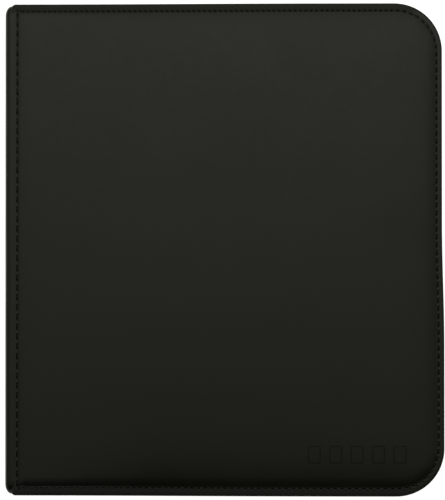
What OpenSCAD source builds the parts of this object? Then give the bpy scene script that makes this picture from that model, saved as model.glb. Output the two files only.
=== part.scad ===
// Zip-round binder for trading cards: two padded leatherette covers, a soft spine
// and side-loading pocket pages, closed by a coil zip on three sides.
// It lies on its back cover. X runs from the spine to the opening edge, Y up the
// page and Z through the thickness, in millimetres, with the origin at the middle
// of the back cover's outer face.

/* [Binder] */
// Width over the spine and covers
binder_w = 320; // [300:1:360]
// Height of the covers
binder_h = 360; // [340:1:400]
// Thickness when zipped shut
binder_t = 38; // [38:0.5:44]
// Radius of the two corners at the opening edge
corner_r = 35; // [25:1:45]
// Radius of the two corners beside the spine
left_corner_r = 3; // [2:0.5:6]

/* [Cover layers] */
// Leatherette skin
skin_t = 0.9; // [0.7:0.1:1.2]
// Foam under the skin
foam_t = 1.7; // [1:0.1:2.2]
// Stiff board
board_t = 1.8; // [1.4:0.1:2.2]
// Fabric lining
lining_t = 0.4; // [0.3:0.1:0.5]
// Width of the turned-in hem round each cover
hem_w = 7.2; // [7.2:0.1:10]

/* [Spine] */
// Outside radius of the soft folds between spine and covers
fold_r = 5; // [4:0.5:6]
// How much shorter the spine is than the covers, at each end
spine_step = 2.2; // [1:0.1:4]
// Depth of the folded tape that holds the bound edges of the pages
binding_d = 8.9; // [7:0.1:9]

/* [Zip] */
// Distance from the cover edge to the outer face of the tape wall
zip_inset = 6.2; // [6:0.1:6.4]
// Thickness of the woven tape
tape_t = 0.7; // [0.5:0.1:0.8]
// Height of each coil row
coil_h = 2.2; // [1.8:0.1:2.6]
// How far each coil row stands out from its tape
coil_d = 1.8; // [1.4:0.1:2]
// Open line between the two rows, where the slider's blade runs
parting = 0.8; // [0.7:0.1:1]
// Length of the slider
slider_l = 12; // [10:0.5:14]
// Length of the pull tab
pull_l = 26; // [20:1:32]

/* [Pages] */
// Distance from one page to the next
page_pitch = 1.4; // [1.3:0.01:1.4]
// Backing sheet
sheet_t = 0.3; // [0.2:0.05:0.35]
// Clear pocket film
film_t = 0.12; // [0.1:0.01:0.14]
// Room under the film of an empty pocket
pocket_gap = 0.18; // [0.12:0.01:0.2]
// Width of one pocket, from weld to weld
pocket_w = 69.6; // [68:0.1:70]
// Height of one pocket, from weld to weld
pocket_h = 100; // [94:0.5:102]
// Width of a weld line
weld_w = 2; // [1:0.5:3]

/* [Hidden] */
$fn = 96;
page_count = 20;
pocket_cols = 4;
pocket_rows = 3;

// Levels through the back cover, from its outer face. The front cover mirrors them.
foam_z = skin_t;
board_z = foam_z + foam_t;
lining_z = board_z + board_t;
cover_t = lining_z + lining_t;
flange_z = lining_z - tape_t;
tape_edge_z = (binder_t - parting) / 2;

// Stations across the binder, from the spine's outer face to the opening edge
spine_x = -binder_w / 2;
panel_x = spine_x + fold_r;
board_x = panel_x + hem_w + 0.2;
lining_x = panel_x + 1;
zip_x = panel_x + 0.5;
coil_x = spine_x + 16;
sheet_x = spine_x + 20;
first_weld_x = spine_x + 27;

// Spine
spine_board_t = 1.8;
fold_drop = 1;
fold_gap = 0.4;
spine_face_z = fold_drop + fold_r;
spine_end_r = 5;
spine_low_z = cover_t + 0.6;
binding_x = spine_x + skin_t + spine_board_t + lining_t;
binding_wall = 0.8;
tab_w = binding_d - binding_wall;

// Pages
sheet_r = 5;
page_edge = 2.6;
slit = 1.2;
page_half_h = pocket_h * pocket_rows / 2;
sheet_right = first_weld_x + pocket_cols * pocket_w + page_edge;
sheet_margin = 2;

// Crimped stops at the ends of the coil
stop_l = 2.4;
stop_d = coil_d + 0.2;
stop_h = coil_h + 0.4;

// Slider
slider_x = spine_x + 28;
slider_h = 7.2;
slider_plate = 1.3;
slider_clear = 0.45;
blade_t = 0.5;
blade_l = 5;
lip_h = 0.7;
outer_plate_in = zip_inset - coil_d - slider_clear;
inner_plate_in = zip_inset + tape_t + slider_clear;
bridge_l = 6.4;
bridge_w = 2.6;
bridge_t = 0.8;
bridge_h = 2.2;
pin_r = 0.55;
pull_w = 7;
pull_t = 1.2;
pull_hole_l = 3.6;
pull_hole_w = 3.4;
pin_in = outer_plate_in - slider_plate - 0.15 - pin_r;

function two_digits(i) = i < 10 ? str("0", i) : str(i);
function page_name(i) = str("page_", two_digits(i));
function pockets_name(i) = str("page_", two_digits(i), "_pockets");
function page_z(i) = binder_t / 2 + ((page_count + 1) / 2 - i) * page_pitch;

leatherette = [0.17, 0.17, 0.15];
lining_black = [0.10, 0.10, 0.11];
zip_black = [0.07, 0.07, 0.08];
gunmetal = [0.30, 0.30, 0.32];
page_black = [0.06, 0.06, 0.07];
clear_film = [0.80, 0.84, 0.88, 0.3];

// Puts a part of the back cover on the front cover.
module on_front() {
    translate([0, 0, binder_t])
        mirror([0, 0, 1])
            children();
}

// Flat outline of a cover, pulled in by inset on its three zipped sides.
module cover_outline(inset, left, left_r) {
    right = binder_w / 2 - inset;
    top = binder_h / 2 - inset;
    r = corner_r - inset;
    translate([left + left_r, -top])
        square([right - r - left - left_r, 2 * top]);
    translate([left, left_r - top])
        square([right - r - left, 2 * (top - left_r)]);
    translate([left + left_r, r - top])
        square([right - left - left_r, 2 * (top - r)]);
    for (side = [-1, 1]) {
        translate([right - r, side * (top - r)])
            circle(r = r);
        translate([left + left_r, side * (top - left_r)])
            circle(r = left_r);
    }
}

module cover_slab(inset, left, bottom, height, left_r = 1) {
    translate([0, 0, bottom])
        linear_extrude(height)
            cover_outline(inset, left, left_r);
}

// Strip that follows the zip round three sides, between two distances from the cover edge.
module zip_strip(outer, inner, left, bottom, height) {
    translate([0, 0, bottom])
        linear_extrude(height)
            difference() {
                cover_outline(outer, left, 0.1);
                cover_outline(inner, left - hem_w, 0.1);
            }
}

// Leatherette panel with its edge turned in. The left hem is deeper, because no tape lies under it.
module cover_skin() {
    cover_slab(0, panel_x, 0, skin_t, left_corner_r);
    difference() {
        cover_slab(0, panel_x, skin_t, flange_z - skin_t, left_corner_r);
        cover_slab(hem_w, panel_x + hem_w, 0, cover_t);
    }
    translate([panel_x, hem_w - binder_h / 2, flange_z])
        cube([hem_w, binder_h - 2 * hem_w, lining_z - flange_z]);
}

module cover_foam() {
    cover_slab(hem_w + 0.2, board_x, foam_z, foam_t);
}

module cover_board() {
    cover_slab(hem_w + 0.2, board_x, board_z, board_t);
}

module cover_lining() {
    cover_slab(hem_w, lining_x, lining_z, lining_t);
}

// Half of the zip's tape: a flange sewn to the hem and a wall up to the parting line.
module zip_tape() {
    zip_strip(1.5, zip_inset + tape_t, zip_x, flange_z, tape_t);
    zip_strip(zip_inset, zip_inset + tape_t, zip_x, flange_z, tape_edge_z - flange_z);
}

// Envelope of one coil row, with a crimped stop at each end beside the spine.
module zip_coil() {
    zip_strip(zip_inset - coil_d, zip_inset, coil_x, tape_edge_z - coil_h, coil_h);
    for (side = [-1, 1])
        translate([coil_x, side * (binder_h / 2 - zip_inset + stop_d / 2), tape_edge_z - stop_h / 2])
            cube([stop_l, stop_d, stop_h], center = true);
}

// Quarter tube along Y that carries the leatherette from the spine towards a cover.
module spine_fold() {
    end_angle = asin(fold_gap / fold_r);
    translate([spine_x + fold_r, 0, spine_face_z])
        rotate([90, 0, 0])
            translate([0, 0, -binder_h / 2])
                rotate([0, 0, 180])
                    rotate_extrude(angle = 90 - end_angle)
                        translate([fold_r - skin_t, 0])
                            square([skin_t, binder_h]);
}

// Blank with rounded ends that the spine leatherette is cut from.
module spine_blank() {
    half = binder_h / 2 - spine_step;
    linear_extrude(binder_t)
        union() {
            translate([spine_x + spine_end_r, -half])
                square([2 * fold_r, 2 * half]);
            translate([spine_x, spine_end_r - half])
                square([spine_end_r, 2 * (half - spine_end_r)]);
            for (side = [-1, 1])
                translate([spine_x + spine_end_r, side * (half - spine_end_r)])
                    circle(r = spine_end_r);
        }
}

module spine_skin() {
    color(leatherette)
        intersection() {
            union() {
                translate([spine_x, -binder_h / 2, spine_face_z])
                    cube([skin_t, binder_h, binder_t - 2 * spine_face_z]);
                spine_fold();
                on_front() spine_fold();
            }
            spine_blank();
        }
}

module spine_board() {
    color([0.45, 0.40, 0.33])
        translate([spine_x + skin_t, -binder_h / 2 + 8, spine_face_z])
            cube([spine_board_t, binder_h - 16, binder_t - 2 * spine_face_z]);
}

module spine_lining() {
    color(lining_black)
        translate([binding_x - lining_t, -binder_h / 2 + 4, spine_low_z])
            cube([lining_t, binder_h - 8, binder_t - 2 * spine_low_z]);
}

// Cloth tape folded round the bound edges of the pages and sewn to the spine.
module binding_tape() {
    lip = page_z(page_count) - sheet_t / 2 - spine_low_z;
    tall = binder_t - 2 * spine_low_z;
    color(page_black)
        translate([binding_x, -page_half_h, spine_low_z])
            difference() {
                cube([binding_d, 2 * page_half_h, tall]);
                translate([binding_wall, -1, lip])
                    cube([binding_d, 2 * page_half_h + 2, tall - 2 * lip]);
            }
}

// Bound edges of the pages, inside the binding tape.
module page_tabs() {
    color(page_black)
        for (i = [1:page_count])
            translate([binding_x + binding_wall, -page_half_h, page_z(i) - sheet_t / 2])
                cube([tab_w, 2 * page_half_h, sheet_t]);
}

// Strips between the bound edges that leave room for cards in the pockets.
module tab_spacers() {
    color([0.14, 0.14, 0.15])
        for (i = [2:page_count])
            translate([binding_x + binding_wall, 1 - page_half_h, page_z(i) + sheet_t / 2])
                cube([tab_w - 0.5, 2 * page_half_h - 2, page_pitch - sheet_t]);
}

// Opaque backing sheet of one page, from its crease to its outer edge.
module page_sheet(i) {
    half = page_half_h + sheet_margin;
    color(page_black)
        translate([0, 0, page_z(i) - sheet_t / 2])
            linear_extrude(sheet_t)
                union() {
                    translate([sheet_x, -half])
                        square([sheet_right - sheet_r - sheet_x, 2 * half]);
                    translate([sheet_x, sheet_r - half])
                        square([sheet_right - sheet_x, 2 * (half - sheet_r)]);
                    for (side = [-1, 1])
                        translate([sheet_right - sheet_r, side * (half - sheet_r)])
                            circle(r = sheet_r);
                }
}

// Clear film of one side: four strips that open towards the spine, held by raised weld lines.
module pocket_film() {
    for (column = [0:pocket_cols - 1])
        translate([first_weld_x + column * pocket_w, 0, 0]) {
            translate([slit, -page_half_h, pocket_gap])
                cube([pocket_w - slit, 2 * page_half_h, film_t]);
            translate([pocket_w - weld_w, -page_half_h, 0])
                cube([weld_w, 2 * page_half_h, pocket_gap + film_t]);
        }
    for (row = [0:pocket_rows])
        translate([first_weld_x, row * (pocket_h - weld_w / pocket_rows) - page_half_h, 0])
            cube([pocket_cols * pocket_w, weld_w, pocket_gap]);
}

module page_pockets(i) {
    color(clear_film)
        translate([0, 0, page_z(i)]) {
            translate([0, 0, sheet_t / 2])
                pocket_film();
            mirror([0, 0, 1])
                translate([0, 0, sheet_t / 2])
                    pocket_film();
        }
}

// Block on the bottom run of the zip, placed by its middle along X and its distances
// from the cover edge. Its height is centred on the parting line.
module slider_block(x, outer, inner, length, height, rise = 0) {
    translate([slider_x + x, (outer + inner - binder_h) / 2, binder_t / 2 + rise])
        cube([length, inner - outer, height], center = true);
}

module zip_slider() {
    lip_rise = (lip_h - slider_h) / 2;
    bridge_out = outer_plate_in - slider_plate - bridge_h;
    color(gunmetal) {
        slider_block(0, outer_plate_in - slider_plate, outer_plate_in, slider_l, slider_h);
        slider_block(0, inner_plate_in, inner_plate_in + slider_plate, slider_l, slider_h);
        slider_block(0, outer_plate_in, outer_plate_in + coil_d * 0.8, slider_l, lip_h, lip_rise);
        slider_block((blade_l - slider_l) / 2, outer_plate_in, inner_plate_in, blade_l, blade_t);
        slider_block(0, bridge_out, bridge_out + bridge_t, bridge_l, bridge_w);
        for (side = [-1, 1])
            slider_block(side * (bridge_l - bridge_t) / 2, bridge_out, outer_plate_in - slider_plate,
                bridge_t, bridge_w);
    }
}

// Tab whose round cross bar turns under the slider's bridge.
module zip_pull() {
    end_r = pull_w / 2;
    color(gunmetal)
        translate([slider_x, pin_in - binder_h / 2, binder_t / 2]) {
            cylinder(r = pin_r, h = pull_w, center = true);
            rotate([90, 0, 0])
                translate([0, 0, -pull_t / 2])
                    linear_extrude(pull_t)
                        difference() {
                            union() {
                                translate([0, -end_r])
                                    square([pull_l - end_r, pull_w]);
                                translate([pull_l - end_r, 0])
                                    circle(r = end_r);
                            }
                            translate([-1, -pull_hole_w / 2])
                                square([pull_hole_l + pin_r + 1, pull_hole_w]);
                            translate([pull_l - end_r - 0.4, 0])
                                circle(r = 1.6);
                        }
        }
}

color(leatherette) on_front() cover_skin();  // front_skin
color([0.75, 0.75, 0.7]) on_front() cover_foam();  // front_foam
color([0.45, 0.40, 0.33]) on_front() cover_board();  // front_board
color(lining_black) on_front() cover_lining();  // front_lining
color(zip_black) on_front() zip_tape();  // front_zip_tape
color(zip_black) on_front() zip_coil();  // front_zip_coil
color(leatherette) cover_skin();  // back_skin
color([0.75, 0.75, 0.7]) cover_foam();  // back_foam
color([0.45, 0.40, 0.33]) cover_board();  // back_board
color(lining_black) cover_lining();  // back_lining
color(zip_black) zip_tape();  // back_zip_tape
color(zip_black) zip_coil();  // back_zip_coil
spine_skin();
spine_board();
spine_lining();
binding_tape();
page_tabs();
tab_spacers();
zip_slider();
zip_pull();
for (i = [1:page_count]) {
    page_sheet(i);
    page_pockets(i);
}
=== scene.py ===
import math

import bmesh
import bpy
from mathutils import Matrix, Vector, noise
from mathutils.bvhtree import BVHTree


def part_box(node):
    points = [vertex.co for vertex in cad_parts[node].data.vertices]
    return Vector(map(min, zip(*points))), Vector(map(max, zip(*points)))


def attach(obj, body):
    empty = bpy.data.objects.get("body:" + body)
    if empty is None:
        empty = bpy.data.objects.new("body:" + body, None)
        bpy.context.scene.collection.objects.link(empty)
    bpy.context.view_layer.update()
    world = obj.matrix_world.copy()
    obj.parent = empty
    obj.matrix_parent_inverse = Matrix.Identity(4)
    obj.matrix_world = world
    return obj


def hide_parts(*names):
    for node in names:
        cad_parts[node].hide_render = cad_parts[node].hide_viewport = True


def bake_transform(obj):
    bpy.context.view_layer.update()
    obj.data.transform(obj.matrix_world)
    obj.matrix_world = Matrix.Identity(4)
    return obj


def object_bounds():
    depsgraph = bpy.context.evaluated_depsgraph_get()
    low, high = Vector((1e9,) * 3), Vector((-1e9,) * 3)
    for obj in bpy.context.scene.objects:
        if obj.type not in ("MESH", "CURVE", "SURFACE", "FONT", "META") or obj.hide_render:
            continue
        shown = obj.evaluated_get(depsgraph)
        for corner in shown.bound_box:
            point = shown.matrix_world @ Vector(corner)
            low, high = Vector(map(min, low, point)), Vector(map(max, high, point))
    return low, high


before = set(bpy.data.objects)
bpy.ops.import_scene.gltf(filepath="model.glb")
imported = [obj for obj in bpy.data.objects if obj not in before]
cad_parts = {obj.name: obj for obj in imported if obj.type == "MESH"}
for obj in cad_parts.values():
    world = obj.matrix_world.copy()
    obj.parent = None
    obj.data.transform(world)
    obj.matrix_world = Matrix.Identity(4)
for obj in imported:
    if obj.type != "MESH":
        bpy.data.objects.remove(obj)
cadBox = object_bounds()
scene = bpy.context.scene
mm = 0.001


class Wire:
    # a node's output, so that shader maths reads as plain sums
    def __init__(self, finish, socket):
        self.finish, self.socket = finish, socket

    def math(self, operation, *others):
        return self.finish.node(
            "ShaderNodeMath",
            {"operation": operation},
            {i: value for i, value in enumerate((self, *others))},
        )

    def __add__(self, other):
        return self.math("ADD", other)

    __radd__ = __add__

    def __sub__(self, other):
        return self.math("SUBTRACT", other)

    def __rsub__(self, other):
        return self.math("MULTIPLY_ADD", -1.0, other)

    def __mul__(self, other):
        return self.math("MULTIPLY", other)

    def __abs__(self):
        return self.math("ABSOLUTE")

    def smooth(self, low, high):
        # 0 below low, 1 above high
        return self.finish.node(
            "ShaderNodeMapRange",
            {"interpolation_type": "SMOOTHSTEP"},
            {"Value": self, "From Min": low, "From Max": high},
        )


class Finish:
    # one material with a Principled shader
    def __init__(self, name, **fixed):
        self.material = bpy.data.materials.new(name)
        self.material.use_nodes = True
        self.tree = self.material.node_tree
        self.shader = self.tree.nodes["Principled BSDF"]
        for socket, value in fixed.items():
            self.shader.inputs[socket.replace("_", " ")].default_value = value

    def node(self, kind, settings=None, inputs=None, out=0):
        made = self.tree.nodes.new(kind)
        for key, value in (settings or {}).items():
            setattr(made, key, value)
        for key, value in (inputs or {}).items():
            self.plug(value, made.inputs[key])
        return Wire(self, made.outputs[out])

    def plug(self, value, socket):
        if isinstance(value, Wire):
            self.tree.links.new(value.socket, socket)
        else:
            socket.default_value = value

    def set(self, **links):
        for name, value in links.items():
            self.plug(value, self.shader.inputs[name.replace("_", " ")])
        return self

    def place(self, scale=(1, 1, 1), uv=False):
        where = self.node("ShaderNodeTexCoord", out=2 if uv else 3)
        return self.node("ShaderNodeMapping", {}, {"Vector": where, "Scale": scale})

    def axis(self, where, index):
        # one coordinate of a place: 0 is x and 1 is y
        return self.node("ShaderNodeSeparateXYZ", {}, {"Vector": where}, out=index)

    def noise(self, scale, detail, rough, where=None):
        inputs = {"Vector": where or self.place()}
        inputs.update({"Scale": scale, "Detail": detail, "Roughness": rough})
        return self.node("ShaderNodeTexNoise", {}, inputs)

    def attribute(self, name):
        return self.node("ShaderNodeAttribute", {"attribute_name": name}, out=2)

    def blend(self, factor, a, b):
        return self.node(
            "ShaderNodeMix", {"data_type": "RGBA"}, {0: factor, 6: a, 7: b}, out=2
        )

    def bump(self, height, distance, strength, under=None):
        inputs = {"Height": height, "Distance": distance, "Strength": strength}
        if under:
            inputs["Normal"] = under
        return self.node("ShaderNodeBump", {}, inputs)


def rgb(r, g, b):
    return (r, g, b, 1.0)


# the sewn line's distance from the cover's edge in mm, before it drifts
sewnLine = 3.75
leatherLook = {
    "dark": rgb(0.0034, 0.0033, 0.0004),
    "light": rgb(0.0056, 0.0055, 0.0014),
    "grain": 1500,
    "grainDepth": 0.05 * mm,
    "roughness": 0.34,
    "edge": rgb(0.008, 0.008, 0.005),
    # painted highlight colour for the puckers between the stitches
    "puckerAndHighlight": rgb(0.020, 0.020, 0.014),
    "puckerLine": 3.45 * mm,
    "puckerDepth": 0.30 * mm,
    # the hem turns dull at the head and the foot, over these distances from the middle
    "dull": (0.173, 0.1755),
}


def leather(name, stitched=False, tone=1.0, gloss=0.42, matt=0.0):
    look = leatherLook
    finish = Finish(name, Specular_IOR_Level=gloss)
    cloud = finish.noise(14, 4, 0.55)
    fine = finish.noise(220, 3, 0.6)
    pebble = finish.node(
        "ShaderNodeTexVoronoi",
        {"feature": "SMOOTH_F1"},
        {"Vector": finish.place(), "Scale": look["grain"], "Smoothness": 0.6},
    )
    pore = finish.noise(2600, 2, 0.5)
    mix = cloud.smooth(0.32, 0.70) * 0.7 + fine * 0.3
    dark = [c * tone for c in look["dark"][:3]] + [1]
    light = [c * tone for c in look["light"][:3]] + [1]
    colour = finish.blend(mix, dark, light)
    rough = look["roughness"] + matt + (cloud - 0.5) * 0.10 + (fine - 0.5) * 0.08
    height = pebble * -0.7 + pore * 0.5 + fine * 0.4
    normal = finish.bump(height, look["grainDepth"], 0.3)
    if stitched:
        # needle holes and the puckers between them, along the sewn line, with a painted highlight
        # on the puckers
        phase = finish.attribute("stitchPhase")
        inset = finish.attribute("inset")
        nearLine = 1 - abs(inset - sewnLine * mm).smooth(0.3 * mm, 1.2 * mm)
        offMiddle = abs(phase.math("FRACT") - 0.5)
        pull = nearLine * (1 - offMiddle.smooth(0.16, 0.42))
        nearPucker = 1 - abs(inset - look["puckerLine"]).smooth(0.2 * mm, 0.7 * mm)
        puckerAndHighlight = nearPucker * offMiddle.smooth(0.25, 0.5)
        normal = finish.bump(puckerAndHighlight - pull * 0.35, look["puckerDepth"], 0.8, normal)
        edge = 1 - inset.smooth(0.2 * mm, 1.6 * mm)
        colour = finish.blend(edge * 0.3, colour, look["edge"])
        # painted highlight: the puckers between the stitches are coloured lighter, as if they
        # caught the light
        colour = finish.blend(puckerAndHighlight * 0.6, colour, look["puckerAndHighlight"])
        ends = abs(finish.axis(finish.place(), 1))
        dull = ends.smooth(*look["dull"]) * (1 - inset.smooth(4 * mm, 5.5 * mm))
        rough = rough + pull * 0.2 + edge * 0.06 + dull * 0.16
    return finish.set(Base_Color=colour, Roughness=rough, Normal=normal).material


def weave(name, warp, weft, count, uv=False, depth=0.12 * mm, roughness=0.85):
    # plain weave: two crossed sets of rounded threads
    finish = Finish(name, Specular_IOR_Level=0.25)
    where = finish.place(uv=uv)
    u = (finish.axis(where, 0) * (math.pi * count)).math("SINE")
    v = (finish.axis(where, 1) * (math.pi * count)).math("SINE")
    over = (u * v).smooth(-0.25, 0.25)
    threads = abs(u) * over + abs(v) * (1 - over)
    fuzz = finish.noise(900, 3, 0.6)
    tone = finish.noise(25, 3, 0.5)
    colour = finish.blend(over * 0.6 + tone * 0.4, warp, weft)
    # painted shade: darker in the hollows between the threads
    colour = finish.blend((1 - threads) * 0.5, colour, rgb(0.002, 0.002, 0.002))
    normal = finish.bump(threads + fuzz * 0.3, depth, 0.7)
    rough = roughness + (fuzz - 0.5) * 0.15
    return finish.set(Base_Color=colour, Roughness=rough, Normal=normal).material


def plastic(name, dark, light, roughness, grain, depth, **fixed):
    finish = Finish(name, **fixed)
    cloud = finish.noise(30, 3, 0.5)
    fine = finish.noise(grain, 3, 0.6)
    colour = finish.blend(cloud.smooth(0.3, 0.7), dark, light)
    normal = finish.bump(fine, depth, 0.5)
    rough = roughness + (cloud - 0.5) * 0.12 + (fine - 0.5) * 0.1
    return finish.set(Base_Color=colour, Roughness=rough, Normal=normal).material


def metal(name):
    # dark plated zinc, rubbed brighter in soft patches
    finish = Finish(name, Metallic=0.9)
    cloud = finish.noise(160, 4, 0.6)
    scratch = finish.noise(700, 2, 0.6, finish.place((1, 1, 14)))
    wear = cloud.smooth(0.52, 0.75)
    colour = finish.blend(wear, rgb(0.09, 0.09, 0.095), rgb(0.24, 0.24, 0.25))
    rough = 0.30 + (scratch - 0.5) * 0.25 + (cloud - 0.5) * 0.1
    normal = finish.bump(scratch + cloud, 0.02 * mm, 0.5)
    return finish.set(Base_Color=colour, Roughness=rough, Normal=normal).material


def clearFilm(name):
    finish = Finish(name, IOR=1.49, Specular_IOR_Level=0.6)
    weld = finish.attribute("weld")
    haze = finish.noise(40, 4, 0.6)
    ribs = finish.noise(1400, 1, 0.4, finish.place((1, 0.2, 1)))
    alpha = 0.30 + weld * 0.25 + (haze - 0.5) * 0.06
    rough = 0.12 + weld * 0.25 + (haze - 0.5) * 0.06
    normal = finish.bump(haze + weld * ribs * 0.5, 0.05 * mm, 0.15)
    colour = finish.blend(weld, rgb(0.045, 0.048, 0.050), rgb(0.070, 0.075, 0.080))
    return finish.set(Base_Color=colour, Roughness=rough, Alpha=alpha, Normal=normal).material


looks = {
    "cover": leather("coverLeather", stitched=True),
    "spine": leather("spineLeather", tone=1.15),
    "pressed": leather("pressedLeather", tone=0.7, gloss=0.27, matt=0.12),
    "thread": plastic(
        "sewingThread", rgb(0.001, 0.001, 0.0005), rgb(0.003, 0.003, 0.002), 0.8, 2400,
        0.10 * mm, Specular_IOR_Level=0.04,
    ),
    "lining": weave("liningWeave", rgb(0.012, 0.012, 0.014), rgb(0.022, 0.022, 0.025), 1100),
    "tape": weave("tapeWeave", rgb(0.008, 0.008, 0.009), rgb(0.016, 0.016, 0.018), 1.0, uv=True),
    "cloth": weave(
        "bindingWeave", rgb(0.010, 0.010, 0.011), rgb(0.018, 0.018, 0.020), 1.0, uv=True
    ),
    "coil": plastic(
        "coilNylon", rgb(0.006, 0.006, 0.007), rgb(0.012, 0.012, 0.013), 0.34, 900, 0.02 * mm
    ),
    "metal": metal("sliderMetal"),
    "page": plastic(
        "pageBacking", rgb(0.010, 0.010, 0.011), rgb(0.017, 0.017, 0.018), 0.52, 1200, 0.04 * mm
    ),
    "film": clearFilm("pocketFilm"),
    "board": plastic(
        "greyBoard", rgb(0.16, 0.13, 0.10), rgb(0.24, 0.21, 0.17), 0.85, 500, 0.1 * mm
    ),
    "foam": plastic(
        "paddingFoam", rgb(0.52, 0.52, 0.48), rgb(0.64, 0.64, 0.60), 0.9, 1500, 0.2 * mm
    ),
}
print("materials made")


frontLow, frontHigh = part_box("front_skin")
spineLow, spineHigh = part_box("spine_skin")
spineOut = spineLow.x
thickness = cadBox[1][2] - cadBox[0][2]
coverOutline = {
    "left": frontLow.x,
    "right": frontHigh.x,
    "top": frontHigh.y,
    "cornerR": 35 * mm,
    "leftR": 2.6 * mm,
    "leftFixed": False,
    # a soft cover is a little fuller past its middle, and wider low on the right
    "fuller": 0.7 * mm,
    "fullerFrom": -0.03,
    "fullerOver": 0.08,
    "drawnIn": 0.2 * mm,
    "wider": 1.6 * mm,
    "widerFrom": 0.02,
    "widerOver": 0.09,
}
zipOutline = dict(
    coverOutline, left=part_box("back_zip_tape")[0].x, leftR=0.1 * mm, leftFixed=True
)
roundTheCover = 8.0


def smoothStep(t):
    t = min(max(t, 0), 1)
    return t * t * (3 - 2 * t)


def coverPoint(along, inset, outline):
    # along runs clockwise from the top left: 0-1 top, 1-2 corner, 2-3 right and so on to 8
    left = outline["left"] + (0 if outline["leftFixed"] else inset)
    right, top = outline["right"] - inset, outline["top"] - inset
    big = max(outline["cornerR"] - inset, 0.4 * mm)
    small = max(outline["leftR"] - inset, 0.4 * mm)
    corners = (
        (left + small, top - small, small),
        (right - big, top - big, big),
        (right - big, big - top, big),
        (left + small, small - top, small),
    )
    side, part = int(along // 2) % 4, along % 2
    facing = math.pi / 2 * (1 - side)

    def settled(x, y):
        if outline["leftFixed"]:
            return Vector((x, y))
        full = (1 + math.tanh((x - outline["fullerFrom"]) / outline["fullerOver"])) / 2
        full = full * outline["fuller"] - outline["drawnIn"]
        wide = smoothStep((outline["widerFrom"] - y) / outline["widerOver"])
        wide = wide * max(x, 0) / outline["right"] * outline["wider"]
        return Vector((x + wide, y * (1 + full / outline["top"])))

    (x0, y0, r0), (x1, y1, r1) = corners[side], corners[(side + 1) % 4]
    if part < 1:
        start = Vector((x0 + r0 * math.cos(facing), y0 + r0 * math.sin(facing)))
        end = Vector((x1 + r1 * math.cos(facing), y1 + r1 * math.sin(facing)))
        return settled(*start.lerp(end, part))
    facing -= (part - 1) * math.pi / 2
    return settled(x1 + r1 * math.cos(facing), y1 + r1 * math.sin(facing))


def alongSteps(counts, closed):
    steps = [part + i / n for part, n in enumerate(counts) for i in range(n)]
    return steps + [roundTheCover if closed else float(len(counts))]


def partLength(part, inset, outline):
    points = [coverPoint(part + i / 16 * 0.99999, inset, outline) for i in range(17)]
    return sum((b - a).length for a, b in zip(points, points[1:]))


def facesOut(bm):
    bmesh.ops.recalc_face_normals(bm, faces=bm.faces)


def thicken(bm, by):
    bmesh.ops.solidify(bm, geom=bm.faces[:], thickness=by)


def bevelled(bm, geom, offset, affect, segments):
    bmesh.ops.bevel(
        bm, geom=geom, offset=offset, affect=affect, segments=segments, profile=0.5, material=-1
    )


def makePiece(name, bm, look, body=None, stands=(), sharp=38):
    for face in bm.faces:
        face.smooth = True
    for edge in bm.edges:
        edge.smooth = len(edge.link_faces) == 2 and edge.calc_face_angle(0) < math.radians(sharp)
    mesh = bpy.data.meshes.new(name)
    bm.to_mesh(mesh)
    bm.free()
    piece = bpy.data.objects.new(name, mesh)
    scene.collection.objects.link(piece)
    mesh.materials.append(looks[look])
    if stands:
        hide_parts(*stands)
    if body:
        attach(piece, body)
    return piece


def gridOf(bm, columns, rows, place):
    # a plain grid whose points are moved to place(column, row)
    bm.loops.layers.uv.verify()
    made = bmesh.ops.create_grid(
        bm, x_segments=columns, y_segments=rows, size=1, calc_uvs=True
    )["verts"]
    for vert in made:
        u, v = (vert.co.x + 1) / 2, (vert.co.y + 1) / 2
        vert.co = place(round(u * columns), round(v * rows))
    return made


def turnOver(bm, z):
    # the front cover is the back cover mirrored at half the thickness
    for vert in bm.verts:
        vert.co.z = z - vert.co.z
    bmesh.ops.reverse_faces(bm, faces=bm.faces)


def sideBlend(values, along):
    # one value for each of the four sides, blended round the corners between them
    side, part = int(along // 2) % 4, along % 2
    share = max(part - 1, 0)
    return values[side] * (1 - share) + values[(side + 1) % 4] * share


def sweptRing(bm, counts, profile, outline, closed=True, drift=None):
    # carries a section of (inset, depth) points round the cover
    steps = alongSteps(counts, closed)
    bm.loops.layers.uv.verify()
    inset = bm.verts.layers.float.get("inset") or bm.verts.layers.float.new("inset")
    along = bm.verts.layers.float.get("along") or bm.verts.layers.float.new("along")
    made = bmesh.ops.create_grid(
        bm, x_segments=len(steps) - 1, y_segments=len(profile) - 1, size=1, calc_uvs=True
    )["verts"]
    for vert in made:
        column = round((vert.co.x + 1) / 2 * (len(steps) - 1))
        row = round((vert.co.y + 1) / 2 * (len(profile) - 1))
        d, depth = profile[row][:2]
        if drift:
            d += drift(steps[column]) * profile[row][2]
        x, y = coverPoint(steps[column] % roundTheCover, d * mm, outline)
        vert.co = (x, y, depth * mm)
        vert[inset] = profile[row][0] * mm
        vert[along] = steps[column]
    if closed:
        bmesh.ops.remove_doubles(bm, verts=bm.verts, dist=0.002 * mm)
    return inset, along


def fillInside(bm, along, inset, far):
    # closes every open loop of a swept ring with a grid between its left and right sides

    def between(edge, low, high):
        return all(low - 1e-4 <= vert[along] <= high + 1e-4 for vert in edge.verts)

    loops = []
    left = {e for e in bm.edges if e.is_boundary}
    while left:
        loop, todo = set(), [left.pop()]
        while todo:
            edge = todo.pop()
            loop.add(edge)
            for vert in edge.verts:
                for other in vert.link_edges:
                    if other in left:
                        left.remove(other)
                        todo.append(other)
        loops.append(loop)
    for loop in loops:
        rails = [e for e in loop if between(e, 1.5, 3.5) or between(e, 5.5, 7.5)]
        before = set(bm.verts)
        bmesh.ops.grid_fill(bm, edges=rails, use_smooth=True, use_interp_simple=False)
        for vert in set(bm.verts) - before:
            vert[inset] = far * mm
            vert[along] = 0


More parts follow.
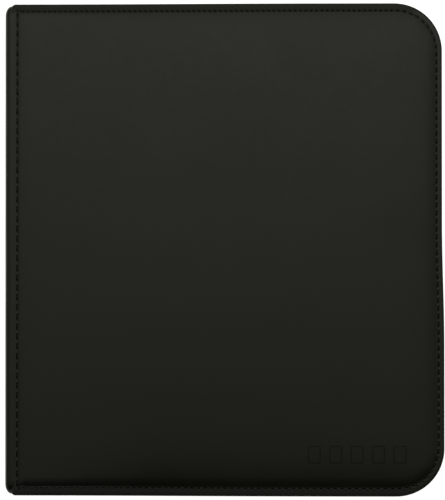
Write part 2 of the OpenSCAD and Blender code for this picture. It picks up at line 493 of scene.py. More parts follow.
coverLook = {
    # points on the eight parts: a left corner's count is even, and the left side has as many
    # as the right side and half of each corner
    "counts": (106, 24, 112, 24, 106, 4, 132, 4),
    # section of the leatherette in mm: distance from the cover's edge, depth below its face, and
    # how far that row follows the sewn line as it drifts in and out
    "section": (
        (13.0, 0.93, 0), (8.6, 1.3, 0), (7.45, 1.75, 0), (7.25, 1.95, 0), (7.2, 2.4, 0),
        (7.2, 3.4, 0), (7.0, 3.68, 0), (4.2, 3.7, 0), (1.3, 3.7, 0),
        (0.6, 3.58, 0), (0.16, 3.2, 0), (0.0, 2.7, 0), (0.0, 2.2, 0), (0.14, 1.72, 0),
        (0.48, 1.36, 0), (0.95, 1.16, 0), (1.5, 1.10, 0.1), (2.3, 1.09, 0.4), (3.0, 1.11, 0.8),
        (3.45, 1.13, 1), (sewnLine, 1.14, 1), (3.92, 1.09, 1), (4.6, 0.99, 1), (5.4, 0.88, 1),
        (6.6, 0.77, 0.8), (8.4, 0.66, 0.5), (10.6, 0.58, 0.2), (13.5, 0.53, 0),
    ),
    # the sewn line's distance from the edge on the top, right, bottom and left
    "sewn": (5.8, 4.2, 6.2, 4.3),
    # the share of each stitch that shows on the same four sides
    "shows": (0.32, 0.44, 0.42, 0.42),
    # stitches on the top, corner, right, corner, bottom, corner, left and corner
    "stitches": (70, 9, 50, 9, 57, 1, 49, 1),
    # how much longer the stitches start than they end on each of those parts
    "easing": (0, 0, 0, 0, 0.09, 0, 0, 0),
    # half sizes of a stitch across and up, and its depth
    "thread": (0.62, 0.34),
    "threadDepth": 1.21,
    # rows above faceDepth and past hemTo are padded; hemDepth divides the face from the turn-in
    "faceDepth": 1.12,
    "hemTo": 3.8,
    "hemDepth": 3.0,
    "hemLean": (0, 0, 0.22, 0),
    # the turn-in is thinner along the spine
    "turnIn": 8.0,
    "turnInDrop": 0.7,
    "steep": (0.45, 0, 0, 0.8),
    "steepDepth": 0.58,
    "steepTo": 12.0,
    "stitchRise": 0.25,
    "pressure": 2.0,
    "puff": 1.35,
    "backPuff": 0.8,
    "sheetGrid": (44, 50),
    "frames": 40,
    "roll": 7.0,
    "fullWidth": 120 * mm,
    "crown": 1.3,
    "ripple": 0.05,
}


def sewnDrift(along):
    return sideBlend(coverLook["sewn"], along) - sewnLine


def phaseAt(along):
    # stitches counted from the top left corner
    part = min(int(along), 7)
    share = along - part
    share -= coverLook["easing"][part] * share * (1 - share)
    return sum(coverLook["stitches"][:part]) + share * coverLook["stitches"][part]


def swellSheet():
    # a loose sheet sewn down all round swells under pressure; its lift shapes both covers
    look = coverLook
    columns, rows = look["sheetGrid"]
    top, right, bottom, left = (inset * mm for inset in look["sewn"])
    low = Vector((coverOutline["left"] + left, bottom - coverOutline["top"]))
    high = Vector((coverOutline["right"] - right, coverOutline["top"] - top))
    size = high - low
    bm = bmesh.new()
    gridOf(
        bm, columns, rows, lambda i, j: (low.x + size.x * i / columns, low.y + size.y * j / rows, 0)
    )
    sheet = makePiece("swellSheet", bm, "cover")
    turn = coverOutline["cornerR"] - right
    cornerR = coverOutline["cornerR"]
    corner = Vector((coverOutline["right"] - cornerR, coverOutline["top"] - cornerR))
    held = []
    for vert in sheet.data.vertices:
        past = Vector((max(vert.co.x - corner.x, 0), max(abs(vert.co.y) - corner.y, 0)))
        rim = min(vert.co.x - low.x, high.x - vert.co.x, vert.co.y - low.y, high.y - vert.co.y)
        if rim < 0.1 * mm or past.length > turn:
            held.append(vert.index)
    group = sheet.vertex_groups.new(name="sewn")
    group.add(held, 1.0, "REPLACE")
    cloth = sheet.modifiers.new("padding", "CLOTH")
    cloth.settings.quality = 5
    cloth.settings.mass = 0.4
    cloth.settings.tension_stiffness = 25
    cloth.settings.bending_stiffness = 1
    cloth.settings.air_damping = 6
    cloth.settings.use_pressure = True
    cloth.settings.uniform_pressure_force = look["pressure"]
    cloth.settings.vertex_group_mass = group.name
    cloth.settings.effector_weights.gravity = 0
    cloth.point_cache.frame_start, cloth.point_cache.frame_end = 1, look["frames"]
    for step in range(1, look["frames"] + 1):
        scene.frame_set(step)
    swollen = sheet.evaluated_get(bpy.context.evaluated_depsgraph_get()).to_mesh()
    lift = {}
    for flat, risen in zip(sheet.data.vertices, swollen.vertices):
        i = round((flat.co.x - low.x) / size.x * columns)
        j = round((flat.co.y - low.y) / size.y * rows)
        lift[i, j] = abs(risen.co.z)
    most = max(lift.values())
    scene.frame_set(1)
    bpy.data.objects.remove(sheet)
    print("sheet swelled by", round(most / mm, 1), "mm")

    def share(x, y):
        # 0 at the sewn line, 1 at the fullest point
        u = min(max((x - low.x) / size.x, 0), 1) * columns
        v = min(max((y - low.y) / size.y, 0), 1) * rows
        i, j = min(int(u), columns - 1), min(int(v), rows - 1)
        near = lift[i, j] * (1 - u + i) + lift[i + 1, j] * (u - i)
        far = lift[i, j + 1] * (1 - u + i) + lift[i + 1, j + 1] * (u - i)
        return (near * (1 - v + j) + far * (v - j)) / most

    return share


fullness = swellSheet()


def coverSkin(name, front):
    look = coverLook
    bm = bmesh.new()
    inset, along = sweptRing(bm, look["counts"], look["section"], coverOutline, drift=sewnDrift)
    fillInside(bm, along, inset, 20)
    phase = bm.verts.layers.float.new("stitchPhase")
    for vert in bm.verts:
        vert[phase] = phaseAt(vert[along])
        onLeft = 5.5 <= vert[along] <= 7.5 and vert[inset] < look["turnIn"] * mm
        if onLeft and vert.co.z > look["hemDepth"] * mm:
            vert.co.z += look["turnInDrop"] * mm
        beside = sewnLine * mm + 1e-5 < vert[inset] < look["steepTo"] * mm
        if vert.co.z < look["faceDepth"] * mm and beside:
            # along the spine and the head the padding stands up at once beside the sewn line
            steep = sideBlend(look["steep"], vert[along] % roundTheCover)
            vert.co.z += (look["steepDepth"] * mm - vert.co.z) * steep
        if vert.co.z < look["hemDepth"] * mm and vert[inset] < sewnLine * mm:
            # the hem droops a little along the foot
            droop = 1 - vert[inset] / mm / sewnLine
            vert.co.z += sideBlend(look["hemLean"], vert[along] % roundTheCover) * droop * mm
    facesOut(bm)
    bm.verts.ensure_lookup_table()
    hemTo, faceDepth = look["hemTo"] * mm, look["faceDepth"] * mm
    still = [v[inset] < hemTo or v.co.z > faceDepth for v in bm.verts]
    puff, crown = look["puff"] * mm, look["crown"] * mm
    if not front:
        # the back cover is pressed flat where it carries the binder
        puff, crown = look["backPuff"] * mm, 0
    body = "front_cover" if front else "back_cover"
    side = "front" if front else "back"
    piece = makePiece(name, bm, "cover")
    for vert, held in zip(piece.data.vertices, still):
        if held:
            continue
        # the foam is full right up to the sewn line along the spine
        full = smoothStep((vert.co.x - coverOutline["left"]) / look["fullWidth"])
        share = fullness(vert.co.x, vert.co.y) ** (0.3 + 0.7 * full)
        rise = (puff * (1 - math.exp(-share * look["roll"])) + crown * share) * (0.5 + 0.5 * full)
        ripple = noise.noise(vert.co * 22 + Vector((0, 0, 3 if front else 9)))
        vert.co.z += ripple * look["ripple"] * mm - rise
        if not front:
            vert.co.z = max(vert.co.z, 0.0)
    if front:
        for vert in piece.data.vertices:
            vert.co.z = thickness - vert.co.z
        piece.data.flip_normals()
    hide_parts(side + "_skin")
    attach(piece, body)
    return piece


def stitchRow(name, front):
    look = coverLook
    bm = bmesh.new()
    depth = look["threadDepth"] * mm
    halfWide, halfTall = look["thread"]
    for part, count in enumerate(look["stitches"]):
        pitch = partLength(part, 4 * mm, coverOutline) / count
        for i in range(count):
            share = (i + 0.5) / count
            at = part + share + look["easing"][part] * share * (1 - share)
            rise = look["stitchRise"] * sideBlend(look["steep"], at)
            inset = (sewnLine + sewnDrift(at) - rise) * mm
            here = coverPoint(at, inset, coverOutline)
            ahead = coverPoint(min(at + 0.1 / count, 7.9999), inset, coverOutline) - here
            wobble = noise.noise(Vector((here.x * 900, here.y * 900, 5)))
            turn = math.atan2(ahead.y, ahead.x) + 0.10 * wobble
            z = thickness - depth + rise * mm if front else depth - rise * mm
            length = pitch * sideBlend(look["shows"], at) * (1 + 0.12 * wobble)
            shape = Matrix.Diagonal((length / 2, halfWide * mm, halfTall * mm, 1))
            where = Matrix.Translation((here.x, here.y, z)) @ Matrix.Rotation(turn, 4, "Z")
            bmesh.ops.create_uvsphere(
                bm, u_segments=8, v_segments=6, radius=1, matrix=where @ shape
            )
    body = "front_cover" if front else "back_cover"
    return makePiece(name, bm, "thread", body, sharp=180)


paddedSkins = {}
for front in (True, False):
    side = "front" if front else "back"
    paddedSkins[side] = coverSkin(side + "PaddedSkin", front)
    stitchRow(side + "Stitches", front)
print("padded covers and their stitches made")


emblem = {
    "cards": 5,
    "height": 13.0,
    "width": 9.4,
    "step": 15.6,
    "line": 0.9,
    "cornerR": 1.4,
    "thick": 0.12,
    # from the cover's right and bottom edges
    "right": 26.5,
    "low": 24.0,
    "proud": 0.04,
}


def pressedCards():
    # a plain row of card outlines, pressed into the front cover's padded face
    skin = paddedSkins["front"].data
    surface = BVHTree.FromPolygons(
        [v.co for v in skin.vertices], [p.vertices for p in skin.polygons]
    )
    bm = bmesh.new()
    look = emblem
    for i in range(look["cards"]):
        after = look["step"] * (look["cards"] - 1 - i)
        x = frontHigh.x - (look["right"] + after + look["width"] / 2) * mm
        y = -frontHigh.y + (look["low"] + look["height"] / 2) * mm
        made = bmesh.ops.create_grid(bm, x_segments=1, y_segments=1, size=1)["verts"]
        for vert in made:
            vert.co = (
                x + vert.co.x * look["width"] / 2 * mm,
                y + vert.co.y * look["height"] / 2 * mm,
                0,
            )
        bevelled(bm, made, look["cornerR"] * mm, "VERTICES", 4)
    for face in list(bm.faces):
        bmesh.ops.inset_region(
            bm, faces=[face], thickness=look["line"] * mm,
            use_boundary=True, use_even_offset=True,
        )
        bmesh.ops.delete(bm, geom=[face], context="FACES")
    for vert in bm.verts:
        above = Vector((vert.co.x, vert.co.y, 2 * thickness))
        vert.co.z = surface.ray_cast(above, Vector((0, 0, -1)))[0].z + look["proud"] * mm
    thicken(bm, look["thick"] * mm)
    facesOut(bm)
    return makePiece("pressedCards", bm, "pressed", "front_cover")


pressedCards()
print("emblem pressed")


spineLook = {
    "radius": 5.0 * mm,
    "endR": 7.5 * mm,
    "thickness": 0.85 * mm,
    "longer": 1.2 * mm,
    "sag": 0.06 * mm,
    "rows": 96,
    # heights of the two folds' centres in mm, and the angle that each turns through
    "low": 6.0,
    "high": 32.0,
    "turn": 95,
}


def squared(part):
    # a fold a little squarer than a circle, as leatherette creased round board lies
    return math.copysign(abs(part) ** 0.75, part)


def spineSurface(sections):
    # sections are (height of the fold's centre, angle, how far past it) in mm and degrees
    look = spineLook
    half = spineHigh.y + look["longer"]
    r, endR = look["radius"], look["endR"]
    # the ends turn in round the board
    angles = (82, 70, 58, 45, 30, 15, 0)
    ends = [half - endR + endR * math.sin(math.radians(a)) for a in angles]
    flat = [ends[-1] - (2 * ends[-1]) * i / look["rows"] for i in range(1, look["rows"])]
    ys = ends + flat + [-y for y in reversed(ends)]

    def place(column, row):
        y = ys[row]
        over = max(abs(y) - (half - endR), 0)
        pull = r * (1 - math.sqrt(max(1 - (over / endR) ** 2, 0)))
        centre, angle, extra = sections[column]
        reach = r - pull
        a = math.radians(angle)
        sag = look["sag"] * noise.noise(Vector((column * 0.3, y * 30, 2)))
        x = spineOut + r + (reach + sag) * squared(math.cos(a)) + extra * mm
        z = centre * mm + (reach + sag) * squared(math.sin(a))
        return (x, y, z)

    bm = bmesh.new()
    gridOf(bm, len(sections) - 1, len(ys) - 1, place)
    facesOut(bm)
    # the outer side faces away from the pages
    middle = max(bm.faces, key=lambda f: -abs(f.calc_center_median().y))
    height = middle.calc_center_median().z - thickness / 2
    lying = abs(middle.normal.x) < 0.2
    if middle.normal.x > 0 or (lying and middle.normal.z * height < 0):
        bmesh.ops.reverse_faces(bm, faces=bm.faces)
    thicken(bm, look["thickness"])
    return bm


def foldSections(centre, way):
    # a quarter fold from the flat of the spine, with a short tail under its cover
    turn = way * spineLook["turn"]
    fold = [(centre, 180 + turn * i / 18, 0) for i in range(19)]
    return fold + [(centre, 180 + turn, 0.6), (centre, 180 + turn, 1.2)]


low, high = spineLook["low"], spineLook["high"]
bm = spineSurface([(low + (high - low) * i / 10, 180, 0) for i in range(11)])
makePiece("spinePanel", bm, "spine", "spine", ["spine_skin"])
bm = spineSurface(foldSections(high, -1))
frontFoldPiece = makePiece("frontFold", bm, "spine")
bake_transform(frontFoldPiece)
bm = spineSurface(foldSections(low, 1))
backFoldPiece = makePiece("backFold", bm, "spine")
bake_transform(backFoldPiece)
print("spine and its folds made")


liningCounts = (52, 12, 54, 12, 52, 2, 64, 2)


def coverLining(name, front):
    side = "front" if front else "back"
    lowZ, highZ = (corner.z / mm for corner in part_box("back_lining"))
    outline = dict(coverOutline, left=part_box(side + "_lining")[0].x, leftR=1 * mm, leftFixed=True)
    section = (
        (9.0, lowZ), (7.5, lowZ), (7.25, lowZ + 0.05), (7.2, lowZ + 0.2), (7.25, highZ - 0.08),
        (7.45, highZ - 0.01), (8.2, highZ), (10.0, highZ),
    )
    bm = bmesh.new()
    inset, along = sweptRing(bm, liningCounts, section, outline)
    fillInside(bm, along, inset, 20)
    for vert in bm.verts:
        if vert.co.z > (highZ - 0.02) * mm:
            vert.co.z -= 0.05 * mm * abs(noise.noise(vert.co * 35))
    if front:
        turnOver(bm, thickness)
    facesOut(bm)
    piece = makePiece(name, bm, "lining", f"{side}_cover", [f"{side}_lining"])


coverLining("frontLining", True)
coverLining("backLining", False)

liningLow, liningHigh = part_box("spine_lining")
bm = bmesh.new()
gridOf(
    bm, 10, 60,
    lambda i, j: (
        liningHigh.x - 0.06 * mm * abs(math.sin(i * 1.9)) * 0.5,
        liningLow.y + (liningHigh.y - liningLow.y) * j / 60,
        liningLow.z + (liningHigh.z - liningLow.z) * i / 10,
    ),
)
thicken(bm, 0.3 * mm)
facesOut(bm)
spineLining = makePiece("spineLining", bm, "lining", "spine", ["spine_lining"])
print("linings made")


zipLook = {
    "counts": (52, 16, 56, 16, 52),
    "inset": 6.2,
    "wall": 0.55,
    "edge": 18.6,
    "coilPitch": 1.5,
    "coilWire": 0.27,
    "coilPoints": 8,
    "coilStart": 10.5,
    # half sizes of a turn out from the tape and along the parting line
    "turn": (0.60, 1.12),
    "coilOut": 0.95,
    "coilDown": 0.78,
    "stop": (2.3, 1.9, 2.5),
}


def zipTape(name, front):
    look = zipLook
    side = "front" if front else "back"
    d = look["inset"]
    section = [(1.6, 3.72), (2.6, 3.72), (4.0, 3.73), (5.2, 3.76), (5.9, 3.88), (d + 0.02, 4.25)]
    rise = look["edge"] - 0.1 - 4.9
    section += [(d + 0.05 - 0.12 * math.sin(math.pi * i / 8), 4.9 + rise * i / 8) for i in range(9)]
    bm = bmesh.new()
    sweptRing(bm, look["counts"], section, zipOutline, closed=False)
    uv = bm.loops.layers.uv.verify()
    length = sum(partLength(part, d * mm, zipOutline) for part in range(5)) / mm
    for face in bm.faces:
        for loop in face.loops:
            u, v = loop[uv].uv
            loop[uv].uv = (u * length / 0.9, v * 20 / 0.7)
    facesOut(bm)
    bm.faces.ensure_lookup_table()

    def fromWall(face):
        # distance from a place halfway up the wall at the head
        centre = face.calc_center_median()
        return abs(centre.z - 12 * mm) + abs(centre.y - 0.17)

    wall = min(bm.faces, key=fromWall)
    if wall.normal.y < 0:
        bmesh.ops.reverse_faces(bm, faces=bm.faces)
    thicken(bm, look["wall"] * mm)
    if front:
        turnOver(bm, thickness)
    piece = makePiece(name, bm, "tape", f"{side}_cover", [f"{side}_zip_tape"])


def zipCoil(name, front):
    # one long filament wound in flat-sided turns along the tape's edge
    look = zipLook
    side = "front" if front else "back"
    inset = (look["inset"] - look["coilOut"]) * mm
    edge = look["edge"] * mm
    deep, tall = look["turn"]
    # the front row's turns fall half a turn from the back row's
    ahead = 0.5 * look["coilPoints"] if front else 0
    points = []
    for part in range(5):
        length = partLength(part, inset, zipOutline)
        turns = round(length / (look["coilPitch"] * mm))
        total = turns * look["coilPoints"]
        for i in range(total):
            at = part + i / total
            centre = coverPoint(at, inset, zipOutline)
            if centre.x - zipOutline["left"] < look["coilStart"] * mm:
                continue
            out = coverPoint(at, inset - 1 * mm, zipOutline) - centre
            out.normalize()
            a = 2 * math.pi * ((i + ahead) / look["coilPoints"])
            x = deep * mm * math.copysign(abs(math.cos(a)) ** 0.7, math.cos(a))
            z = tall * mm * math.copysign(abs(math.sin(a)) ** 0.8, math.sin(a))
            spot = centre + out * x
            points.append((spot.x, spot.y, edge - look["coilDown"] * mm + z))
    curve = bpy.data.curves.new(name, "CURVE")
    curve.dimensions = "3D"
    spline = curve.splines.new("POLY")
    spline.points.add(len(points) - 1)
    for point, co in zip(spline.points, points):
        point.co = (*co, 1)
    curve.bevel_depth = look["coilWire"] * mm
    curve.bevel_resolution = 0
    curve.use_fill_caps = True
    shape = bpy.data.objects.new(name + "Path", curve)
    mesh = bpy.data.meshes.new_from_object(shape)
    bm = bmesh.new()
    bm.from_mesh(mesh)
    bpy.data.objects.remove(shape)
    bpy.data.curves.remove(curve)
    # crimped stops at both ends
    for spot, away in ((points[0], 1), (points[-1], -1)):
        size = Matrix.Diagonal((*(length * mm for length in look["stop"]), 1))
        y = away * (zipOutline["top"] - inset)
        box = bmesh.ops.create_cube(
            bm, size=1, matrix=Matrix.Translation((spot[0] - 1.4 * mm, y, edge - 1.2 * mm)) @ size
        )["verts"]
        edges = list({e for v in box for e in v.link_edges})
        bevelled(bm, edges, 0.35 * mm, "EDGES", 3)
    if front:
        turnOver(bm, thickness)
    facesOut(bm)
    return makePiece(name, bm, "coil", f"{side}_cover", [f"{side}_zip_coil"], sharp=80)


for front in (True, False):
    side = "front" if front else "back"
    zipTape(side + "ZipTape", front)
    zipCoil(side + "ZipCoil", front)
print("zip tapes and coils made")


sliderLow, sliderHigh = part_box("zip_slider")
sliderX = (sliderLow.x + sliderHigh.x) / 2
midZ = thickness / 2
sliderLook = {
    "plate": 1.3 * mm,
    "half": 3.6 * mm,
    "bevel": 0.45 * mm,
    "taper": 0.22,
    # the bridge's radius, half its width and half its depth
    "bridge": (2.8 * mm, 1.25 * mm, 0.4 * mm),
    "bridgeRise": 2.3 / 3.2,
}


def block(bm, low, high, bevel, segments=3, taper=0.0):
    # a bevelled block between two corners, its closed end drawn in by taper
    low, high = Vector(low), Vector(high)
    middle, size = (low + high) / 2, high - low
    verts = bmesh.ops.create_cube(
        bm, size=1, matrix=Matrix.Translation(middle) @ Matrix.Diagonal((*size, 1))
    )["verts"]
    for vert in verts:
        if vert.co.x > middle.x:
            vert.co.z = middle.z + (vert.co.z - middle.z) * (1 - taper)
    edges = list({e for v in verts for e in v.link_edges})
    bevelled(bm, edges, bevel, "EDGES", segments)


def slider():
    look = sliderLook
    bm = bmesh.new()
    outY, inY = sliderLow.y + 2.2 * mm, sliderHigh.y
    plate, half = look["plate"], look["half"]
    for y in (outY, inY - plate):
        block(
            bm, (sliderLow.x, y, midZ - half), (sliderHigh.x, y + plate, midZ + half),
            look["bevel"], 4, look["taper"],
        )
    # rolled lip under the lower coil, and the blade that runs in the parting line
    block(
        bm, (sliderLow.x + 0.6 * mm, outY + plate * 0.6, midZ - half),
        (sliderHigh.x - 2.4 * mm, outY + plate + 1.4 * mm, midZ - 2.9 * mm), 0.25 * mm,
    )
    block(
        bm, (sliderLow.x + 0.2 * mm, outY + plate * 0.5, midZ - 0.25 * mm),
        (sliderLow.x + 5 * mm, inY - plate * 0.5, midZ + 0.25 * mm), 0.1 * mm,
    )
    # arched bridge for the pull
    archR, archWide, archDeep = look["bridge"]
    arch = bmesh.ops.create_grid(bm, x_segments=1, y_segments=2, size=1)["verts"]
    for vert in arch:
        u, v = vert.co.x, vert.co.y
        vert.co = (-archR + u * archDeep, 0, v * archWide)
    faces = list({f for v in arch for f in v.link_faces})
    bmesh.ops.spin(
        bm, geom=faces, cent=(0, 0, 0), axis=(0, 0, 1), dvec=(0, 0, 0),
        angle=math.pi, steps=14, use_merge=False, use_normal_flip=False, use_duplicate=False,
    )
    # only the bridge still lies round the origin
    inFaces = {v for f in bm.faces for v in f.verts}
    swept = {v for v in inFaces if abs(v.co.x) < 5 * mm and abs(v.co.z) < 2 * mm}
    for vert in swept:
        y = abs(vert.co.y)
        vert.co = (sliderX + vert.co.x, outY + 0.1 * mm - y * look["bridgeRise"], midZ + vert.co.z)
    facesOut(bm)
    return makePiece("zipSlider", bm, "metal", "slider", ["zip_slider"])


pullLow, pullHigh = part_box("zip_pull")


def roundedOutline(curve, x0, x1, half, r, steps=6):
    spline = curve.splines.new("POLY")
    corners = (
        (x1 - r, half - r, 0),
        (x0 + r, half - r, 90),
        (x0 + r, r - half, 180),
        (x1 - r, r - half, 270),
    )
    points = []
    for cx, cy, start in corners:
        for i in range(steps + 1):
            a = math.radians(start + 90 * i / steps)
            points.append((cx + r * math.cos(a), cy + r * math.sin(a)))
    spline.points.add(len(points) - 1)
    for point, co in zip(spline.points, points):
        point.co = (*co, 0, 1)
    spline.use_cyclic_u = True


def pullTab():
    # a flat tab with a slot for the bridge, a waist and a hole at its free end
    length = (pullHigh.x - pullLow.x) - 0.6 * mm
    curve = bpy.data.curves.new("pullOutline", "CURVE")
    curve.dimensions = "2D"
    curve.fill_mode = "BOTH"
    roundedOutline(curve, -0.55 * mm, length, 3.5 * mm, 2.4 * mm)
    roundedOutline(curve, 0.6 * mm, 4.1 * mm, 1.65 * mm, 0.5 * mm, 3)
    roundedOutline(curve, length - 5.6 * mm, length - 2.2 * mm, 1.7 * mm, 1.69 * mm)
    roundedOutline(curve, 6.4 * mm, length - 8.2 * mm, 1.5 * mm, 1.4 * mm)
    curve.extrude = 0.40 * mm
    curve.bevel_depth = 0.18 * mm
    curve.bevel_resolution = 2
    curve.offset = -0.18 * mm
    shape = bpy.data.objects.new("pullShape", curve)
    mesh = bpy.data.meshes.new_from_object(shape)
    bm = bmesh.new()
    bm.from_mesh(mesh)
    bpy.data.objects.remove(shape)
    bpy.data.curves.remove(curve)
    bmesh.ops.remove_doubles(bm, verts=bm.verts, dist=0.01 * mm)
    # narrow the waist
    for vert in bm.verts:
        t = vert.co.x / length
        vert.co.y *= 1 - 0.16 * math.sin(math.pi * min(max((t - 0.1) / 0.75, 0), 1)) ** 2
    hinge = Vector((sliderX, -frontHigh.y + 1.95 * mm, midZ))
    bmesh.ops.transform(
        bm, matrix=Matrix.Translation(hinge) @ Matrix.Rotation(math.pi / 2, 4, "X"), verts=bm.verts
    )
    bmesh.ops.create_cone(
        bm, cap_ends=True, segments=16, radius1=0.55 * mm, radius2=0.55 * mm, depth=6.4 * mm,
        matrix=Matrix.Translation(hinge),
    )
    facesOut(bm)
    return makePiece("zipPull", bm, "metal", "pull_tab", ["zip_pull"])


slider()
pullTab()
print("slider and pull made")


tapeLow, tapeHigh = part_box("binding_tape")


def bindingTape():
    r = 1.2 * mm
    rows = 60
    path = [(tapeHigh.x, tapeLow.z + 0.02 * mm)]
    for step in range(7):
        a = math.radians(270 - 15 * step)
        path.append((tapeLow.x + r + r * math.cos(a), tapeLow.z + 0.02 * mm + r + r * math.sin(a)))
    path += [(x, tapeLow.z + tapeHigh.z - z) for x, z in reversed(path)]
    bm = bmesh.new()

    def place(column, row):
        x, z = path[column]
        return (x, tapeLow.y + (tapeHigh.y - tapeLow.y) * row / rows, z)

    gridOf(bm, len(path) - 1, rows, place)
    uv = bm.loops.layers.uv.verify()
    for face in bm.faces:
        for loop in face.loops:
            u, v = loop[uv].uv
            loop[uv].uv = (u * 60, v * 400)
    facesOut(bm)
    bm.faces.ensure_lookup_table()
    web = max(bm.faces, key=lambda f: -f.calc_center_median().x)
    if web.normal.x > 0:
        bmesh.ops.reverse_faces(bm, faces=bm.faces)
    thicken(bm, 0.14 * mm)
    piece = makePiece("bindingTape", bm, "cloth", "spine", ["binding_tape"])


bindingTape()
bm = bmesh.new()
for z in (tapeLow.z + 0.02 * mm, tapeHigh.z - 0.02 * mm):
    for i in range(72):
        y = tapeLow.y + (i + 0.5) / 72 * (tapeHigh.y - tapeLow.y)
        spot = Matrix.Translation((tapeHigh.x - 2.6 * mm, y, z))
        bmesh.ops.create_uvsphere(
            bm, u_segments=6, v_segments=5, radius=1,
            matrix=spot @ Matrix.Diagonal((0.3 * mm, 1.4 * mm, 0.16 * mm, 1)),
        )
makePiece("bindingStitches", bm, "thread", "spine", sharp=180)
print("binding tape made")


pageLook = {
    "sheet": 0.3,
    "gutter": 12.0,
    "rigid": 20.0,
    "cornerR": 5.0,
    "columns": 4,
    "rows": 3,
    "weld": 2.0,
    # the gap between a pocket's open side and the next pocket
    "gap": 1.2,
    "film": 0.08,
    # the film's height over the middle of the page, at its welds and over a card
    "low": 0.20,
    "high": 0.50,
}
pocketLow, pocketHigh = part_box("page_01_pockets")


def filmMesh():
    # one face of twelve side-loading pockets, with its weld lines pressed down
    look = pageLook
    bm = bmesh.new()
    weld = bm.verts.layers.float.new("weld")
    welded, gap = look["weld"] * mm, look["gap"] * mm
    wide = (pocketHigh.x - pocketLow.x + gap) / look["columns"]
    tall = pocketHigh.y - pocketLow.y
    rowTall = (tall - welded) / look["rows"]
    inner = rowTall - welded
    across = (0, 0.04, 0.12, 0.3, 0.5, 0.7, 0.85, 0.93, 0.965, 1.0)
    up = []
    for row in range(look["rows"]):
        start = row * rowTall
        up += [start, start + welded]
        up += [start + welded + inner * t for t in (0.05, 0.14, 0.35, 0.5, 0.65, 0.86, 0.95)]
    up += [tall - welded, tall]
    for column in range(look["columns"]):
        x0 = pocketLow.x + column * wide
        x1 = min(x0 + wide - gap, pocketHigh.x)

        def place(i, j):
            s = across[i]
            y = up[j]
            t = (y - welded) % rowTall / inner
            onRow = t > 1.0 or y < welded * 1.01 or y > tall - welded * 1.01
            swell = 0 if onRow else math.sin(math.pi * min(max(t, 0), 1)) ** 0.4
            swell *= 1 if s < 0.5 else max(1 - ((s - 0.5) / 0.46) ** 4, 0)
            z = look["low"] + (look["high"] - look["low"]) * swell
            return (x0 + (x1 - x0) * s, pocketLow.y + y, z * mm)

        made = gridOf(bm, len(across) - 1, len(up) - 1, place)
        for vert in made:
            vert[weld] = 1.0 if vert.co.z < (look["low"] + 0.02) * mm else 0.0
    facesOut(bm)
    thicken(bm, -look["film"] * mm)
    rear = bmesh.ops.duplicate(bm, geom=bm.faces[:])["geom"]
    verts = [g for g in rear if isinstance(g, bmesh.types.BMVert)]
    for vert in verts:
        vert.co.z = -vert.co.z
    facesOut(bm)
    return bm


def pageBacking(z, node):
    # fine columns over the gutter, where the page bends, and wide ones past it
    look = pageLook
    low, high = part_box(node)
    bend = look["rigid"] - look["gutter"]
    xs = [spineOut + (look["gutter"] - 0.4 + bend * i / 10) * mm for i in range(11)]
    xs += [xs[-1] + (high.x - xs[-1]) * i / 6 for i in range(1, 7)]
    bm = bmesh.new()

    def place(i, j):
        return (xs[i], low.y + (high.y - low.y) * j / 8, z)

    gridOf(bm, len(xs) - 1, 8, place)
    bm.verts.ensure_lookup_table()
    outer = [v for v in bm.verts if v.co.x > high.x - 1e-5 and abs(v.co.y) > high.y - 1e-5]
    bevelled(bm, outer, look["cornerR"] * mm, "VERTICES", 6)
    facesOut(bm)
    thicken(bm, look["sheet"] * mm)
    facesOut(bm)
    lift = z - sum(v.co.z for v in bm.verts) / len(bm.verts)
    bmesh.ops.translate(bm, vec=(0, 0, lift), verts=bm.verts)
    return bm


template = filmMesh()
for i in range(1, 21):
    node = f"page_{i:02d}"
    body = f"leaf_{i:02d}"
    lowPage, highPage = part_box(node)
    z = (lowPage.z + highPage.z) / 2
    bm = pageBacking(z, node)
    backing = makePiece(f"pageBacking_{i:02d}", bm, "page", None, [node])
    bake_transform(backing)
    bm = template.copy()
    bmesh.ops.translate(bm, vec=(0, 0, z), verts=bm.verts)
    makePiece(f"pocketFilm_{i:02d}", bm, "film", body, [node + "_pockets"])
template.free()
print("twenty pages made")


for node, look in {
    "front_foam": "foam", "back_foam": "foam", "front_board": "board", "back_board": "board",
    "spine_board": "board", "page_tabs": "page", "tab_spacers": "board",
}.items():
    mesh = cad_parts[node].data
    mesh.materials.clear()
    mesh.materials.append(looks[look])


stageLook = {
    "floor": rgb(0.86, 0.86, 0.85),
    "patchFront": (-0.21, 0.09, 0.01, 0.98),
    "patchBack": (0.06, 0.58, 1.0, 0.40),
    "patchSide": (0.12, 0.50, 1.0, 0.50),
    "glow": 1.1,
    "worldColour": rgb(1.0, 1.0, 0.86),
    "cameraHeight": 1.45,
    "frameWide": 0.3252,
    "aim": (-0.0006, -0.0002),
    "lean": (0.010, 0.012),
}


def floorPiece():
    finish = Finish("paleFloor", Specular_IOR_Level=0.1, Emission_Strength=stageLook["glow"])
    cloud = finish.noise(3, 2, 0.5)
    colour = finish.blend(cloud, stageLook["floor"], rgb(0.90, 0.90, 0.89))
    finish.set(Base_Color=colour, Emission_Color=colour, Roughness=0.9 + cloud * 0.05)
    bm = bmesh.new()
    bmesh.ops.create_grid(
        bm, x_segments=8, y_segments=8, size=3, matrix=Matrix.Translation((0, 0, -0.2 * mm))
    )
    mesh = bpy.data.meshes.new("floor")
    bm.to_mesh(mesh)
    bm.free()
    floor = bpy.data.objects.new("floor", mesh)
    scene.collection.objects.link(floor)
    mesh.materials.append(finish.material)


def softLight(name, where, aim, size, power, colour=(1, 1, 1)):
    light = bpy.data.lights.new(name, "AREA")
    light.shape = "RECTANGLE"
    light.size, light.size_y = size
    light.energy = power
    light.color = colour
    lamp = bpy.data.objects.new(name, light)
    scene.collection.objects.link(lamp)
    lamp.location = where
    lamp.rotation_euler = (Vector(aim) - Vector(where)).to_track_quat("-Z", "Y").to_euler()


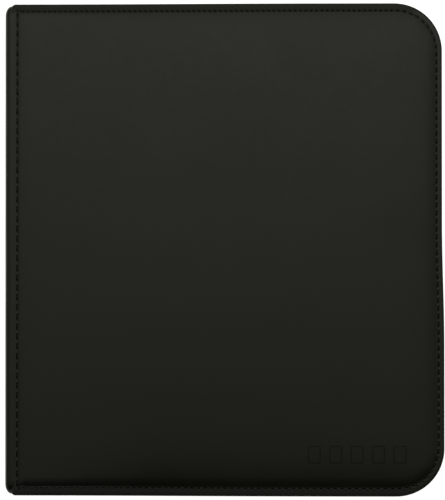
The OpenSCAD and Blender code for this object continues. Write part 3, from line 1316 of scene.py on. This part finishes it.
floorPiece()
softLight("backSoft", (0, 0.66, 0.95), (0, 0.25, 0), (1.1, 0.95), 0.8, (1, 1, 0.95))
softLight("frontSoft", (0.1, -1.5, 0.5), (0, 0, 0), (1.8, 0.5), 2)


def studioWorld():
    # a light tent: a wide soft patch above and behind, darker round the sides and front
    world = bpy.data.worlds.new("studio")
    world.use_nodes = True
    tree = world.node_tree
    where = tree.nodes.new("ShaderNodeTexCoord")
    parts = tree.nodes.new("ShaderNodeSeparateXYZ")
    tree.links.new(where.outputs["Generated"], parts.inputs[0])
    sideways = tree.nodes.new("ShaderNodeMath")
    sideways.operation = "ABSOLUTE"
    tree.links.new(parts.outputs["X"], sideways.inputs[0])
    strength = None
    for socket, limits in (
        (parts.outputs["Y"], stageLook["patchFront"]),
        (parts.outputs["Y"], stageLook["patchBack"]),
        (sideways.outputs[0], stageLook["patchSide"]),
    ):
        fall = tree.nodes.new("ShaderNodeMapRange")
        fall.interpolation_type = "SMOOTHSTEP"
        for name, value in zip(("From Min", "From Max", "To Min", "To Max"), limits):
            fall.inputs[name].default_value = value
        tree.links.new(socket, fall.inputs["Value"])
        if strength:
            product = tree.nodes.new("ShaderNodeMath")
            product.operation = "MULTIPLY"
            tree.links.new(strength, product.inputs[0])
            tree.links.new(fall.outputs[0], product.inputs[1])
            strength = product.outputs[0]
        else:
            strength = fall.outputs[0]
    back = tree.nodes["Background"]
    back.inputs["Color"].default_value = stageLook["worldColour"]
    tree.links.new(strength, back.inputs["Strength"])
    scene.world = world


studioWorld()
scene.view_settings.view_transform = "Standard"

lens = bpy.data.cameras.new("camera")
camera = bpy.data.objects.new("camera", lens)
scene.collection.objects.link(camera)
scene.camera = camera
aimX, aimY = stageLook["aim"]
leanX, leanY = stageLook["lean"]
distance = stageLook["cameraHeight"]
face = Vector((aimX, aimY, thickness))
camera.location = face + Vector((leanX, -leanY, distance))
toward = face - camera.location
camera.rotation_euler = (math.atan2(leanY, distance), math.atan2(leanX, distance), 0)
lens.sensor_fit = "VERTICAL"
frameTall = stageLook["frameWide"] * 500 / 445
lens.sensor_height = 24
lens.lens = 24 * toward.length / frameTall
lens.clip_start, lens.clip_end = 0.05, 20
print("floor, lights and camera set")
